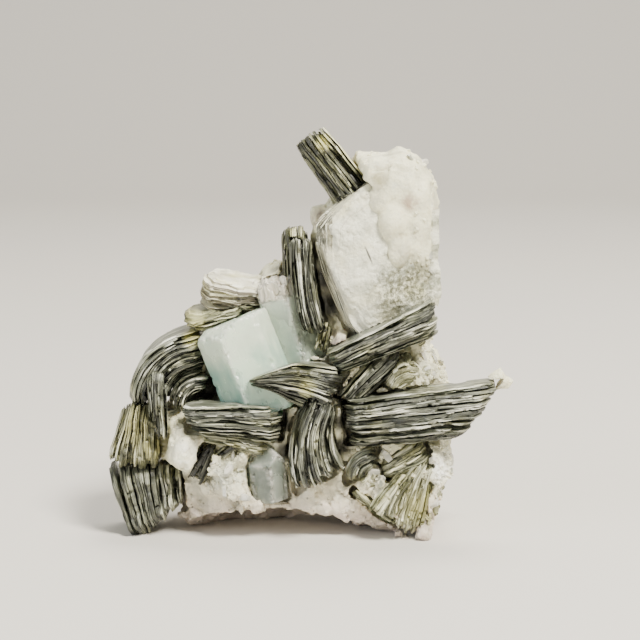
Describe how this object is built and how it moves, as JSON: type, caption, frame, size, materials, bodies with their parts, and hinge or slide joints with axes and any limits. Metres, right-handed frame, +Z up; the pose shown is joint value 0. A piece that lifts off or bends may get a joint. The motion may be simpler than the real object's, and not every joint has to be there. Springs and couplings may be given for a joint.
{
  "type": "aquamarine with muscovite specimen",
  "caption": "Mineral specimen: a stubby pale-blue aquamarine prism among criss-crossing books of silvery muscovite leaves on white albite, with a small clear quartz point.",
  "frame": {"origin": "on the surface that the specimen stands on, below the middle of its bounding box", "axes": "+X to the right and +Z up as the aquamarine side is looked at, +Y away from the viewer through the specimen"},
  "size_m": [0.0892, 0.0396, 0.0898],
  "materials": {
    "albite": "sugary white feldspar, matt",
    "aquamarine": "pale blue beryl, milky inside, glassy faces",
    "quartz": "clear grey quartz",
    "muscovite_pale": "pale mica, pearly sheets",
    "muscovite_grey": "grey-green mica, striped leaf edges",
    "muscovite_olive": "olive-cream mica, striped leaf edges",
    "muscovite_dark": "dark mica flake"
  },
  "bodies": {
    "root": {"albite_bead": "albite", "albite_matrix": "albite", "aquamarine_crystal": "aquamarine", "aquamarine_rear_crystal": "aquamarine", "muscovite_arch_book": "muscovite_grey", "muscovite_back_book": "muscovite_olive", "muscovite_bent_book": "muscovite_grey", "muscovite_bow_book": "muscovite_grey", "muscovite_cream_book": "muscovite_pale", "muscovite_dark_flake": "muscovite_dark", "muscovite_diagonal_book": "muscovite_grey", "muscovite_foot_spray": "muscovite_olive", "muscovite_inner_blades": "muscovite_pale", "muscovite_large_plate": "muscovite_pale", "muscovite_left_book": "muscovite_olive", "muscovite_left_foot_book": "muscovite_grey", "muscovite_lower_right_book": "muscovite_grey", "muscovite_lower_strip": "muscovite_grey", "muscovite_middle_left_book": "muscovite_grey", "muscovite_olive_book": "muscovite_olive", "muscovite_rear_upright_book": "muscovite_olive", "muscovite_right_book": "muscovite_grey", "muscovite_rosette": "muscovite_olive", "muscovite_shell_book": "muscovite_grey", "muscovite_small_fan": "muscovite_olive", "muscovite_top_book": "muscovite_olive", "muscovite_upper_right_book": "muscovite_grey", "muscovite_upright_book": "muscovite_grey", "quartz_point": "quartz"}
  },
  "joints": []
}
